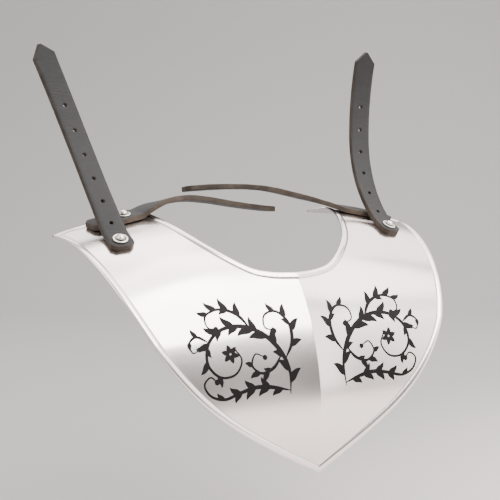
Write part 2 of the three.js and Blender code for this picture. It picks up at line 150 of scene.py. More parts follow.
# Centripetal curve through a table's points, sampled at shares of its length.
def smoothCurve(points, shares):
    perSpan = 60
    pts = [Vector(p) for p in points]
    ends = [pts[0] * 2 - pts[1]] + pts + [pts[-1] * 2 - pts[-2]]
    dense = []
    for i in range(len(pts) - 1):
        p0, p1, p2, p3 = ends[i:i + 4]
        t0 = 0.0
        t1 = t0 + (p1 - p0).length ** 0.5
        t2 = t1 + (p2 - p1).length ** 0.5
        t3 = t2 + (p3 - p2).length ** 0.5
        for k in range(perSpan):
            t = t1 + (t2 - t1) * k / perSpan
            a1 = p0.lerp(p1, (t - t0) / (t1 - t0))
            a2 = p1.lerp(p2, (t - t1) / (t2 - t1))
            a3 = p2.lerp(p3, (t - t2) / (t3 - t2))
            b1 = a1.lerp(a2, (t - t0) / (t2 - t0))
            b2 = a2.lerp(a3, (t - t1) / (t3 - t1))
            dense.append(b1.lerp(b2, (t - t1) / (t2 - t1)))
    dense.append(pts[-1])
    return alongPath(dense, shares)


def alongPath(points, shares):
    lengths = [0.0]
    for a, b in zip(points, points[1:]):
        lengths.append(lengths[-1] + (b - a).length)
    result = []
    i = 0
    for share in shares:
        target = share * lengths[-1]
        while i < len(points) - 2 and lengths[i + 1] < target:
            i += 1
        span = lengths[i + 1] - lengths[i]
        t = 0 if span == 0 else (target - lengths[i]) / span
        result.append(points[i].lerp(points[i + 1], min(1, max(0, t))))
    return result


def evenShares(count):
    return [i / count for i in range(count + 1)]


# The three runs of the half outline: arm edge, rear edge of the shoulder, neck edge.
def outlineRuns():
    halfShoulder = plate["shoulderSpan"] / 2
    halfNeck = plate["neckSpan"] / 2
    rise = plate["cornerUp"] - plate["neckUp"]
    fine = plate["finePerRow"]
    arm = [(out * halfShoulder, up * plate["shoulderUp"]) for out, up in plate["armEdge"]]
    neck = [(out * halfNeck, plate["neckUp"] + up * rise) for out, up in plate["neckEdge"]]
    armRun = smoothCurve(arm, evenShares(plate["armRows"] * fine))
    neckRun = smoothCurve(neck, evenShares(plate["neckRows"] * fine))[::-1]
    rearRun = [armRun[-1].lerp(neckRun[0], share) for share in evenShares(plate["fineRear"])]
    return [armRun, rearRun, neckRun]


# One run moved into the sheet and cut off at the mitres of its two corners.
def insetRun(run, inset, mitreStart, mitreEnd):
    moved = []
    for i, p in enumerate(run):
        a = run[max(0, i - 1)]
        b = run[min(len(run) - 1, i + 1)]
        d = (b - a).normalized()
        moved.append(p + Vector((-d.y, d.x)) * inset)
    moved = cutAt(moved, run[0], mitreStart)
    return cutAt(moved[::-1], run[-1], mitreEnd)[::-1]


# Drops the first points of a path until it has crossed the mitre line, and starts it on that line.
def cutAt(points, corner, mitre):
    def sideOf(p):
        d = p - corner
        return mitre.x * d.y - mitre.y * d.x
    far = sideOf(points[len(points) // 2])
    for i in range(len(points) - 1):
        if sideOf(points[i + 1]) * far > 0:
            a, b = sideOf(points[i]), sideOf(points[i + 1])
            if a * far > 0 and i == 0:
                d = (points[0] - points[1]).normalized()
                slope = mitre.x * d.y - mitre.y * d.x
                return [points[0] - d * (a / slope)] + points[1:]
            return [points[i].lerp(points[i + 1], a / (a - b))] + points[i + 1:]
    return points


# Direction that halves the corner between two runs.
def mitreBetween(before, corner, after):
    inA = (corner - before).normalized()
    inB = (after - corner).normalized()
    return (Vector((-inA.y, inA.x)) + Vector((-inB.y, inB.x))).normalized()


# The half outline moved into the sheet, as its three parts.
def insetRing(runs, inset):
    arm, rear, neck = runs
    upMitre = Vector((0, 1))
    tip = mitreBetween(arm[-2], arm[-1], rear[1])
    corner = mitreBetween(rear[-2], rear[-1], neck[1])
    columnShares = evenShares(plate["columns"])
    grading = [1 - (1 - share) ** plate["columnGrading"] for share in columnShares]
    armRing = alongPath(insetRun(arm, inset, upMitre, tip), evenShares(plate["armRows"]))
    rearRing = alongPath(insetRun(rear, inset, tip, corner), grading)
    neckRing = alongPath(insetRun(neck, inset, corner, upMitre), evenShares(plate["neckRows"]))
    armRing[0].x = 0
    neckRing[-1].x = 0
    return armRing, rearRing, neckRing


def wholeRing(parts):
    arm, rear, neck = parts
    return arm + rear[1:] + neck[1:]


# Fills the sheet inside the border with rows from the crease and neck to the arm edge.
def sheetGrid(ring):
    arm, rear, neckDown = ring
    neck = neckDown[::-1]
    creaseRows = plate["armRows"] - plate["neckRows"]
    shares = [share ** plate["columnGrading"] for share in evenShares(plate["columns"])]
    rows = []
    for i in range(plate["armRows"]):
        if i <= creaseRows:
            start = Vector((0, arm[0].y + (neck[0].y - arm[0].y) * i / creaseRows))
        else:
            start = neck[i - creaseRows]
        rows.append([start.lerp(arm[i], share) for share in shares])
    rows.append(rear[::-1])
    return rows


# Mesh made from faces of points, mirrored across the crease, welded into one closed skin.
class MirroredSkin:
    def __init__(self):
        self.points = {}
        self.faces = []
        self.finishes = []

    def index(self, p):
        weldDigits = 4
        key = tuple(round(value, weldDigits) for value in p)
        return self.points.setdefault(key, len(self.points))

    def face(self, finish, *corners):
        for sign in (1, -1):
            ids = [self.index(Vector((c.x * sign, c.y, c.z))) for c in corners]
            unique = [v for k, v in enumerate(ids) if v != ids[k - 1]]
            if len(unique) > 2:
                self.faces.append(unique if sign > 0 else unique[::-1])
                self.finishes.append(finish)

    # Faces between two rows of points. The first face may have a finish of its own.
    def strip(self, finish, low, high, firstFinish=None):
        for i in range(len(low) - 1):
            own = firstFinish if i == 0 and firstFinish is not None else finish
            self.face(own, low[i], low[i + 1], high[i + 1], high[i])


def meshObject(name, points, faces, scale=mm):
    mesh = bpy.data.meshes.new(name)
    mesh.from_pydata([tuple(c * scale for c in p) for p in points], [], faces)
    mesh.validate()
    obj = bpy.data.objects.new(name, mesh)
    bpy.context.scene.collection.objects.link(obj)
    for polygon in mesh.polygons:
        polygon.use_smooth = True
    return obj


def placedRow(flat, height):
    return [sheetPoint(p.x, p.y, height) for p in flat]


def buildPlate():
    runs = outlineRuns()
    finishes = plate["finishes"]
    skin = MirroredSkin()
    insets = [inset for inset, _ in plate["border"]]
    flats = {inset: insetRing(runs, inset) for inset in dict.fromkeys(insets)}
    placed = [placedRow(wholeRing(flats[inset]), height) for inset, height in plate["border"]]
    for inset, low, high in zip(insets, placed, placed[1:]):
        # faces of the seam take the darker steel, painted shade in the border's inner corner
        inSeam = plate["seam"][0] <= inset < plate["seam"][1]
        skin.strip(finishes["seam" if inSeam else "face"], low, high)
    under = placedRow(wholeRing(flats[insets[-1]]), 0)
    skin.strip(finishes["inside"], under, placedRow(wholeRing(flats[insets[0]]), 0))
    grid = sheetGrid(flats[insets[-1]])
    outer = [placedRow(row, plate["thickness"]) for row in grid]
    for a, b in zip(outer, outer[1:]):
        # the faces on the crease take a brighter steel, a painted highlight along the crest
        onCrease = abs(a[0].x) < 1e-6 and abs(b[0].x) < 1e-6
        skin.strip(finishes["face"], a, b, finishes["crest"] if onCrease else None)
    inner = [placedRow(row, 0) for row in grid]
    for a, b in zip(inner, inner[1:]):
        skin.strip(finishes["inside"], b, a)
    obj = meshObject("plateSheet", list(skin.points), skin.faces)
    for polygon, finish in zip(obj.data.polygons, skin.finishes):
        polygon.material_index = finish
    mesh = bmesh.new()
    mesh.from_mesh(obj.data)
    bmesh.ops.recalc_face_normals(mesh, faces=mesh.faces)
    openEdges = sum(1 for e in mesh.edges if len(e.link_faces) != 2)
    mesh.to_mesh(obj.data)
    mesh.free()
    print("plate sheet:", len(obj.data.polygons), "faces,", openEdges, "open edges")
    return obj


# Straps, in millimetres and degrees.
strap = {
    "width": 23,
    "thickness": 5,
    "gap": 0.3,
    "clip": 4.5,
    "edgeRound": 0.4,
    "edgeSegments": 3,
    "edgeAngle": 50,
    "shoulderRoot": 11,
    "shoulderFree": 216,
    "point": 11.5,
    "tipWidth": 1.5,
    "holes": 6,
    "holePitch": 26,
    "firstHole": 24,
    "holeRadius": 2,
    "holeSides": 28,
    # how far a hole's cutter stands past each face
    "cutterPast": 3.5,
    # spacing of the cuts across a blank, and places of the cuts along it
    "cutEvery": 2.5,
    "cutLines": (-8, -4, 0, 4, 8),
    # slight crown and ripples of the hide: height, turns per mm along and across, start
    "crown": 0.12,
    "ripples": [(0.05, 0.31, 0.1, 0), (0.035, 0.83, 0, 1.3)],
    "sink": 0.16,
    # stations on a route: how many on the seat, how far apart on the sheet, how many where it hangs
    "seatSteps": 8,
    "lieStep": 3,
    "freeSteps": 110,
    # where the back straps leave the crest of the shoulder, and their slant across it
    "leaveOut": 0.297 * plate["shoulderSpan"],
    "leaveUp": 0.865 * plate["cornerUp"],
    "slant": 12,
}
# heights above the inner face of the sheet
strapMiddle = plate["thickness"] + strap["gap"] + strap["thickness"] / 2
strapTop = strapMiddle + strap["thickness"] / 2

# How the straps of each side are fixed and hang. Routes go by share of the free length.
hang = {
    "left": {
        "side": -1,
        "shoulderOut": 0.384 * plate["shoulderSpan"],
        "shoulderUp": 0.846 * plate["shoulderUp"],
        # share along, lean back, tilt outwards, twist inwards
        "shoulder": [
            (0, 54, 1, 0), (0.045, 46, 2, 0), (0.11, 41, 2, 3), (0.2, 38, 4, 6),
            (0.31, 32, 7, 9), (0.53, 21, 13, 11), (0.84, 5, 21, 12), (1, -3, 24, 12),
        ],
        "backRoot": 38,
        "backLies": 13.6,
        "backHangs": 177,
        # share along, rise, turn to the back, roll of the width
        "back": [
            (0, 10, 10, 80), (0.025, 27, 9, 80), (0.12, 18, 8, 90), (0.2, 10.5, 8, 99),
            (0.3, 4.5, 8, 99), (0.42, -5.5, 8, 96), (0.6, -9.5, 8, 93), (1, -5.5, 7, 93),
        ],
    },
    "right": {
        "side": 1,
        "shoulderOut": 0.373 * plate["shoulderSpan"],
        "shoulderUp": 0.859 * plate["shoulderUp"],
        "shoulder": [
            (0, 54, 0, 0), (0.045, 46, 0, 0), (0.11, 41, 2, 0), (0.2, 36, 4, 3),
            (0.31, 28, 6, 7), (0.53, 12, 8, 11), (0.84, -5, 4, 12), (1, -13, 2, 12),
        ],
        "backRoot": 13,
        "backLies": 46.5,
        "backHangs": 187,
        "back": [
            (0, 10, 6, 80), (0.03, 19, 5, 80), (0.14, 14, 5, 83), (0.26, 13.5, 7, 87),
            (0.45, 12.5, 8, 88), (0.55, 6, 9, 90), (0.7, 0.5, 10, 93), (0.85, -2, 10, 96), (1, -5, 11, 97),
        ],
    },
}

# Rivets and washers, in millimetres.
fitting = {
    "shankRadius": 1.8,
    "headRadius": 3.8,
    "headHeight": 3.2,
    "tailRadius": 3.4,
    "tailHeight": 1.2,
    "clearance": 0.3,
    "washerRadius": 7.2,
    "washerThickness": 1.2,
    # section of the washer's rim down into its dish: distance in from the edge, depth below the top
    "washerRim": [
        (0, 0.4), (0.1, 0.14), (0.35, 0), (1.1, -0.03), (1.5, 0.04), (1.9, 0.3), (2.3, 0.65), (2.9, 0.68),
    ],
    "washerFoot": [(0.25, 0), (0, 0.3)],
    "washerDish": 0.65,
    "boreLip": (0.2, 0.1),
    # the dish is dull and darker, painted shade in its hollow, from the bore to this far in from the edge
    "shadedDish": 1.7,
    # sections of the rivet's tail and head at their rims: distance in from the edge, distance up
    "tailRim": [(0.8, 0), (0.2, 0.3), (0, 0.8)],
    "headRim": [(0.35, 0), (0.08, 0.12)],
    "tailFlat": 0.4,
    "domeStart": 0.35,
    "domeSteps": 14,
    # small flat on top of the dome: radius, depth
    "topFlat": (0.12, 0.05),
    "sides": 56,
}


# One place on a strap's route: distance, point, and the directions along, across and out of the strap.
def station(distance, point, along, across):
    wide = (across - along * across.dot(along)).normalized()
    return distance, point, along, wide, wide.cross(along).normalized()


# Goes on from a point along directions given by share of the length.
def walk(first, start, length, directionAt, acrossAt):
    steps = strap["freeSteps"]
    step = length / steps
    point = start
    previous = directionAt(0)
    stations = []
    for i in range(1, steps + 1):
        share = i / steps
        direction = directionAt(share)
        point = point + (direction + previous).normalized() * step
        stations.append(station(first + i * step, point, direction, acrossAt(share)))
        previous = direction
    return stations


def shoulderRoute(lie):
    side, out, up, rows = lie["side"], lie["shoulderOut"], lie["shoulderUp"], lie["shoulder"]
    rootSteps = strap["seatSteps"]
    stations = []
    for i in range(rootSteps):
        back = strap["shoulderRoot"] * (1 - i / rootSteps)
        point, normal, across, upward = sheetFrame(side * out, up - back)
        stations.append(station(-back, point + normal * strapMiddle, upward, across))
    point, normal, seatAcross, upward = sheetFrame(side * out, up)
    start = point + normal * strapMiddle
    pastWasher = fitting["washerRadius"] + 1
    lifted = start + upward * pastWasher
    stations.append(station(0, start, upward, seatAcross))
    stations.append(station(pastWasher, lifted, upward, seatAcross))

    def directionAt(share):
        lean = math.radians(rowValue(rows, 1, share))
        tilt = math.radians(rowValue(rows, 2, share))
        upright = math.cos(tilt)
        return Vector((side * math.sin(tilt), upright * math.sin(lean), upright * math.cos(lean)))

    def acrossAt(share):
        turn = Matrix.Rotation(-side * math.radians(rowValue(rows, 3, share)), 3, "Z")
        return turn @ seatAcross

    free = strap["shoulderFree"] - pastWasher
    return stations + walk(pastWasher, lifted, free, directionAt, acrossAt)


# Where a back strap's middle line lies on the sheet, at a distance from its rivet.
def backPlace(lie, distance):
    left = lie["backLies"] - distance
    slant = math.radians(strap["slant"])
    return strap["leaveOut"] + left * math.cos(slant), strap["leaveUp"] - left * math.sin(slant)


def backRoute(lie):
    side, rows = lie["side"], lie["back"]
    reach = lie["backRoot"] + lie["backLies"]
    steps = math.ceil(reach / strap["lieStep"])

    def onSheet(distance):
        out, up = backPlace(lie, distance)
        return sheetPoint(side * out, up, strapMiddle)

    stations = []
    for i in range(steps + 1):
        distance = reach * i / steps - lie["backRoot"]
        out, up = backPlace(lie, distance)
        along = (onSheet(distance + 1) - onSheet(distance - 1)).normalized()
        stations.append(station(distance, onSheet(distance), along, sheetFrame(side * out, up)[3]))

    def directionAt(share):
        rise = math.radians(rowValue(rows, 1, share))
        back = math.radians(rowValue(rows, 2, share))
        flat = math.cos(rise)
        return Vector((-side * flat * math.cos(back), flat * math.sin(back), math.sin(rise)))

    def acrossAt(share):
        roll = math.radians(rowValue(rows, 3, share))
        return Vector((0, math.sin(roll), math.cos(roll)))

    leaves = lie["backLies"]
    return stations + walk(leaves, onSheet(leaves), lie["backHangs"], directionAt, acrossAt)


def alongRoute(route, distance):
    i = 0
    while i < len(route) - 2 and route[i + 1][0] < distance:
        i += 1
    a, b = route[i], route[i + 1]
    t = (distance - a[0]) / (b[0] - a[0])
    return [before.lerp(after, t) for before, after in zip(a[1:], b[1:])]


def removeObject(obj):
    data = obj.data
    bpy.data.objects.remove(obj)
    bpy.data.meshes.remove(data)


# Turns an object's modifiers into its mesh.
def applied(obj):
    bpy.context.view_layer.update()
    graph = bpy.context.evaluated_depsgraph_get()
    mesh = bpy.data.meshes.new_from_object(obj.evaluated_get(graph))
    obj.modifiers.clear()
    old = obj.data
    obj.data = mesh
    bpy.data.meshes.remove(old)


def cutMesh(mesh, place, normal, near):
    geometry = mesh.verts[:] + mesh.edges[:] + mesh.faces[:]
    bmesh.ops.bisect_plane(mesh, geom=geometry, plane_co=place, plane_no=normal, dist=near)


# Flat strap blank with holes and rounded edges, cut into short stretches, then laid on its route.
def buildStrap(name, outline, holes, route):
    half = strap["thickness"] / 2
    low = [Vector((u, w, -half)) for u, w in outline]
    high = [Vector((u, w, half)) for u, w in outline]
    n = len(outline)
    faces = [list(range(n))[::-1], list(range(n, 2 * n))]
    faces += [[i, (i + 1) % n, n + (i + 1) % n, n + i] for i in range(n)]
    obj = meshObject(name, low + high, faces, 1)
    cutters = []
    for u, radius in holes:
        bar = bmesh.new()
        bmesh.ops.create_cone(
            bar, cap_ends=True, segments=strap["holeSides"],
            radius1=radius, radius2=radius, depth=strap["thickness"] + 2 * strap["cutterPast"],
        )
        mesh = bpy.data.meshes.new("holeCutter")
        bar.to_mesh(mesh)
        bar.free()
        cutter = bpy.data.objects.new("holeCutter", mesh)
        cutter.location = (u, 0, 0)
        bpy.context.scene.collection.objects.link(cutter)
        modifier = obj.modifiers.new("hole", "BOOLEAN")
        modifier.object = cutter
        modifier.solver = "EXACT"
        cutters.append(cutter)
    bevel = obj.modifiers.new("edge", "BEVEL")
    bevel.width = strap["edgeRound"]
    bevel.segments = strap["edgeSegments"]
    bevel.limit_method = "ANGLE"
    bevel.angle_limit = math.radians(strap["edgeAngle"])
    applied(obj)
    for cutter in cutters:
        removeObject(cutter)
    mesh = bmesh.new()
    mesh.from_mesh(obj.data)
    first, last = outline[0][0], max(u for u, _ in outline)
    cut = first + 1
    while cut < last:
        cutMesh(mesh, (cut, 0, 0), (1, 0, 0), 1e-4)
        cut += strap["cutEvery"]
    for w in strap["cutLines"]:
        cutMesh(mesh, (0, w, 0), (0, 1, 0), 1e-4)
    # the two broad faces take the first finish, the cut edges the second
    for face in mesh.faces:
        face.smooth = True
        face.material_index = 0 if abs(face.normal.z) > 0.8 else 1
    for vert in mesh.verts:
        u, w, h = vert.co
        point, _, across, normal = alongRoute(route, u)
        crown = strap["crown"] * (1 - (2 * w / strap["width"]) ** 2) * max(0, h) / half
        ripple = sum(
            height * math.sin(u * along + w * wide + start)
            for height, along, wide, start in strap["ripples"]
        )
        vert.co = (point + across * w + normal * (h + crown + ripple - strap["sink"])) * mm
    mesh.to_mesh(obj.data)
    mesh.free()
    print("strap", name, len(obj.data.polygons), "faces")
    return obj


def shoulderOutline():
    half, clip = strap["width"] / 2, strap["clip"]
    root, free = -strap["shoulderRoot"], strap["shoulderFree"]
    right = [(root, half - clip), (root + clip, half), (free - strap["point"], half)]
    right.append((free, strap["tipWidth"] / 2))
    return [(u, -w) for u, w in right] + right[::-1]


def backOutline(lie):
    half, clip = strap["width"] / 2, strap["clip"]
    root = -lie["backRoot"]
    free = lie["backLies"] + lie["backHangs"]
    right = [(root, half - clip), (root + clip, half), (free - clip, half), (free, half - clip)]
    return [(u, -w) for u, w in right] + right[::-1]


# Turns a profile about the seat's normal. Faces between the two shade radii take the second finish.
def lathe(name, profile, seat, shade=(0, 0)):
    point, normal, across, upward = seat
    sides = fitting["sides"]
    closed = profile[0] == profile[-1]
    rings = len(profile) - 1 if closed else len(profile)
    points, faces = [], []
    for r, h in profile[:rings]:
        for k in range(sides):
            angle = 2 * math.pi * k / sides
            points.append(point + normal * h + (across * math.cos(angle) + upward * math.sin(angle)) * r)
    for i in range(len(profile) - 1):
        low, high = i * sides, (i + 1) % rings * sides
        for k in range(sides):
            after = (k + 1) % sides
            faces.append([low + k, low + after, high + after, high + k])
    if not closed:
        faces.append(list(range(sides))[::-1])
        faces.append([(rings - 1) * sides + k for k in range(sides)])
    obj = meshObject(name, points, faces)
    mesh = bmesh.new()
    mesh.from_mesh(obj.data)
    bmesh.ops.recalc_face_normals(mesh, faces=mesh.faces)
    for face in mesh.faces:
        reach = (face.calc_center_median() / mm - point).cross(normal).length
        face.material_index = 1 if shade[0] < reach < shade[1] else 0
    mesh.to_mesh(obj.data)
    mesh.free()
    return obj


def washerProfile():
    low = strapTop + fitting["clearance"]
    high = low + fitting["washerThickness"]
    bore, edge = fitting["shankRadius"] + fitting["clearance"], fitting["washerRadius"]
    dish = high - fitting["washerDish"]
    lipOut, lipDown = fitting["boreLip"]
    foot = [(edge - inward, low + up) for inward, up in fitting["washerFoot"]]
    rim = [(edge - inward, high - down) for inward, down in fitting["washerRim"]]
    return [(bore, low)] + foot + rim + [(bore + lipOut, dish), (bore, dish - lipDown), (bore, low)]


def rivetProfile():
    shank, tailEdge, headEdge = fitting["shankRadius"], fitting["tailRadius"], fitting["headRadius"]
    tail = -fitting["clearance"]
    bottom = tail - fitting["tailHeight"]
    head = strapTop + fitting["washerThickness"] + 2 * fitting["clearance"]
    flat, trim = fitting["topFlat"]
    top = head + fitting["headHeight"] - trim
    profile = [(fitting["tailFlat"], bottom)]
    profile += [(tailEdge - inward, bottom + up) for inward, up in fitting["tailRim"]]
    profile += [(tailEdge, tail), (shank, tail), (shank, head)]
    profile += [(headEdge - inward, head + up) for inward, up in fitting["headRim"]]
    dome = head + fitting["domeStart"]
    for i in range(fitting["domeSteps"]):
        angle = math.pi / 2 * i / fitting["domeSteps"]
        profile.append((headEdge * math.cos(angle), dome + (top - dome) * math.sin(angle)))
    profile.append((flat, top))
    return profile


# Etched foliage on each half, drawn in millimetres round the middle of the half and laid on the sheet.
scroll = {
    "middle": (77, 127),
    "depth": 0.1,
    "proud": 0.05,
    # the flat drawing is cut into cells, so that it bends with the sheet
    "cell": 6,
    "cellShift": 0.37,
    "cells": 11,
    # points outwards and up, greatest width
    "vines": [
        ([(-45, -46), (-46, -24), (-38, -4), (-23, 12), (-2, 21), (20, 19), (35, 7), (38, -11),
          (27, -23), (11, -22), (3, -10), (8, 0)], 4.9),
        ([(-43, -14), (-53, 2), (-53, 20), (-42, 32), (-29, 29), (-27, 18), (-35, 14)], 3.9),
        ([(-12, 17), (0, 33), (18, 39), (32, 33), (32, 23), (24, 20)], 3.7),
        ([(-46, -43), (-27, -38), (-10, -36), (8, -39), (25, -43), (39, -38), (44, -28),
          (37, -22), (31, -27)], 4.2),
        ([(34, 9), (46, 15), (54, 9), (51, 1), (45, 3)], 2.9),
        ([(-40, -8), (-30, -20), (-16, -24), (-7, -16), (-12, -6), (-20, -9)], 3.3),
    ],
    # vine, share along it, side, length, width
    "leaves": [
        (0, 0.05, 1, 18, 7.5), (0, 0.1, -1, 17, 7), (0, 0.17, -1, 13, 6), (0, 0.235, 1, 18, 7.5),
        (0, 0.29, -1, 20, 8), (0, 0.36, -1, 20, 8), (0, 0.345, 1, 16, 6.5), (0, 0.46, 1, 17, 7),
        (0, 0.44, -1, 15, 6.5), (0, 0.54, 1, 17, 7), (0, 0.53, -1, 12, 5.5), (0, 0.62, 1, 15, 6.5),
        (0, 0.7, 1, 14, 6), (0, 0.64, -1, 10, 5), (0, 0.78, 1, 12, 5.5),
        (1, 0.16, 1, 14, 6.5), (1, 0.32, 1, 16, 7), (1, 0.48, 1, 15, 6.5), (1, 0.62, 1, 12, 5.5),
        (1, 0.4, -1, 10, 5), (2, 0.22, 1, 15, 6.5), (2, 0.38, 1, 16, 6.5), (2, 0.54, 1, 15, 6),
        (2, 0.68, 1, 12, 5.5), (2, 0.4, -1, 10, 5), (3, 0.08, -1, 13, 6.5), (3, 0.2, -1, 15, 6.5),
        (3, 0.2, 1, 14, 6), (3, 0.33, -1, 15, 6.5), (3, 0.33, 1, 14, 6), (3, 0.46, -1, 12, 6),
        (3, 0.47, 1, 13, 6), (3, 0.62, 1, 10, 5), (4, 0.3, 1, 10, 5), (4, 0.55, -1, 8, 4.5),
        (5, 0.35, -1, 13, 6), (5, 0.5, -1, 12, 6), (5, 0.3, 1, 9, 5), (5, 0.66, -1, 9, 5),
    ],
    # degrees that a leaf turns off its vine, and bends along its length
    "leafTurn": 18,
    "leafCurl": 55,
    "vineSteps": 64,
    "leafSteps": 14,
    "petalSteps": 12,
    "budSteps": 10,
    # middle, radius
    "buds": [
        ((-36, 13.5), 2.9), ((24, 20.5), 2.7), ((31, -27), 2.7), ((44.5, 3.5), 2.4), ((-21.5, -10), 2.5),
    ],
    "flower": {"middle": (14, -3.5), "petals": 6, "turn": 0.3, "start": 0.9, "length": 8, "width": 5},
}


# Shares of the greatest width, along a vine, a leaf and a petal.
def vineWidth(t):
    full, first, last = 0.25, 0.15, 0.32
    if t < full:
        return first + (1 - first) * math.sin(math.pi / 2 * t / full)
    return 1 - (1 - last) * (t - full) / (1 - full)


def leafWidth(t):
    return math.sin(math.pi * t ** 0.75) ** 0.85 * (1 - 0.15 * t) + 0.02


def petalWidth(t):
    return math.sin(math.pi * (0.06 + 0.92 * t) ** 0.8) ** 0.7


# Outline of a stroke along a path, down one side and back up the other.
def strokeOutline(path, widthAt):
    left, right = [], []
    for i, p in enumerate(path):
        d = (path[min(len(path) - 1, i + 1)] - path[max(0, i - 1)]).normalized()
        n = Vector((-d.y, d.x)) * widthAt(i / (len(path) - 1)) / 2
        left.append(p + n)
        right.append(p - n)
    return left, right


# Middle line of a leaf, which bends more and more towards its point.
def leafPath(vine, share, side, length):
    steps = scroll["leafSteps"]
    path = smoothCurve(vine, [share - 0.01, share, share + 0.01])
    d = path[2] - path[0]
    heading = math.atan2(d.y, d.x) + side * math.radians(scroll["leafTurn"])
    blade = [path[1]]
    for k in range(steps):
        heading += side * math.radians(scroll["leafCurl"]) / steps * (0.4 + 1.2 * k / steps)
        blade.append(blade[-1] + Vector((math.cos(heading), math.sin(heading))) * length / steps)
    return blade


def scrollStrokes():
    strokes = []
    for vine, width in scroll["vines"]:
        path = smoothCurve(vine, evenShares(scroll["vineSteps"]))
        strokes.append(strokeOutline(path, lambda t: width * vineWidth(t)))
    for vine, share, side, length, width in scroll["leaves"]:
        blade = leafPath(scroll["vines"][vine][0], share, side, length)
        strokes.append(strokeOutline(blade, lambda t: width * leafWidth(t)))
    flower = scroll["flower"]
    for k in range(flower["petals"]):
        angle = 2 * math.pi * k / flower["petals"] + flower["turn"]
        d = Vector((math.cos(angle), math.sin(angle)))
        reaches = [flower["start"] + flower["length"] * share for share in evenShares(scroll["petalSteps"])]
        petal = [Vector(flower["middle"]) + d * reach for reach in reaches]
        strokes.append(strokeOutline(petal, lambda t: flower["width"] * petalWidth(t)))
    for (x, y), radius in scroll["buds"]:
        angles = [math.pi * (0.02 + 0.96 * share) for share in evenShares(scroll["budSteps"])]
        left = [Vector((x + radius * math.cos(a), y + radius * math.sin(a))) for a in angles]
        right = [Vector((x + radius * math.cos(a), y - radius * math.sin(a))) for a in angles]
        strokes.append((left, right))
    return strokes


# Thin closed prism of one stroke, in the flat.
def strokePrism(stroke, points, faces):
    left, right = stroke
    first, n = len(points), len(left)
    for height in (-scroll["depth"], scroll["proud"]):
        points.extend((p.x, p.y, height) for p in left)
        points.extend((p.x, p.y, height) for p in right)
    low, high = first, first + 2 * n
    for i in range(n - 1):
        faces.append([high + i, high + i + 1, high + n + i + 1, high + n + i])
        faces.append([low + n + i, low + n + i + 1, low + i + 1, low + i])
        faces.append([low + i, low + i + 1, high + i + 1, high + i])
        faces.append([high + n + i, high + n + i + 1, low + n + i + 1, low + n + i])
    faces.append([low + n, low, high, high + n])
    faces.append([low + n - 1, low + 2 * n - 1, high + 2 * n - 1, high + n - 1])


def buildScroll(side):
    label = "Left" if side < 0 else "Right"
    strokes = scrollStrokes()
    parts = []
    for name, group in (("etched", strokes[:1]), ("others", strokes[1:])):
        points, faces = [], []
        for stroke in group:
            strokePrism(stroke, points, faces)
        part = meshObject(name + label, points, faces, 1)
        mesh = bmesh.new()
        mesh.from_mesh(part.data)
        bmesh.ops.recalc_face_normals(mesh, faces=mesh.faces)
        mesh.to_mesh(part.data)
        mesh.free()
        parts.append(part)
    obj, others = parts
    joined = obj.modifiers.new("join", "BOOLEAN")
    joined.object = others
    joined.operation = "UNION"
    joined.solver = "EXACT"
    joined.use_self = True
    applied(obj)
    removeObject(others)
    mesh = bmesh.new()
    mesh.from_mesh(obj.data)
    for normal in (Vector((1, 0, 0)), Vector((0, 1, 0))):
        for k in range(-scroll["cells"], scroll["cells"] + 1):
            cutMesh(mesh, normal * (k * scroll["cell"] + scroll["cellShift"]), normal, 1e-5)
    bmesh.ops.triangulate(mesh, faces=[f for f in mesh.faces if len(f.verts) > 4])
    out, up = scroll["middle"]
    for vert in mesh.verts:
        a, b, height = vert.co
        vert.co = sheetPoint(side * (out + a), up + b, plate["thickness"] + height) * mm
    bmesh.ops.recalc_face_normals(mesh, faces=mesh.faces)
    openEdges = sum(1 for e in mesh.edges if len(e.link_faces) != 2)
    for face in mesh.faces:
        face.smooth = False
    mesh.to_mesh(obj.data)
    mesh.free()
    print("etched", label, len(obj.data.polygons), "faces,", openEdges, "open edges")
    return obj


# Node helpers for the materials. What feeds a socket is a number, a colour or the output of a node.
def feed(tree, socket, value):
    if isinstance(value, bpy.types.NodeSocket):
        tree.links.new(value, socket)
    else:
        socket.default_value = value


def addNode(tree, kind, values=None, **settings):
    node = tree.nodes.new(kind)
    for key, value in settings.items():
        setattr(node, key, value)
    for key, value in (values or {}).items():
        feed(tree, node.inputs[key], value)
    return node


def objectPlace(tree):
    return addNode(tree, "ShaderNodeTexCoord").outputs["Object"]


def mathNode(tree, operation, first, second, **settings):
    node = addNode(tree, "ShaderNodeMath", {0: first, 1: second}, operation=operation, **settings)
    return node.outputs[0]


def noiseNode(tree, place, scale, detail, roughness):
    values = {"Vector": place, "Scale": scale, "Detail": detail, "Roughness": roughness}
    return addNode(tree, "ShaderNodeTexNoise", values).outputs["Fac"]


def stretchedPlace(tree, place, scale):
    return addNode(tree, "ShaderNodeMapping", {"Vector": place, "Scale": scale}).outputs[0]


def rangeNode(tree, value, low, high, toLow=0.0, toHigh=1.0, fade="LINEAR"):
    values = {"Value": value, "From Min": low, "From Max": high, "To Min": toLow, "To Max": toHigh}
    return addNode(tree, "ShaderNodeMapRange", values, interpolation_type=fade).outputs[0]


# Mix of two colours. Input 0 of the node is the share, 6 and 7 the colours, and output 2 the result.
def mixNode(tree, share, first, second, blend="MIX"):
    values = {0: share, 6: first, 7: second}
    return addNode(tree, "ShaderNodeMix", values, data_type="RGBA", blend_type=blend).outputs[2]


def newMaterial(name):
    material = bpy.data.materials.new(name)
    material.use_nodes = True
    tree = material.node_tree
    return material, tree, tree.nodes["Principled BSDF"]


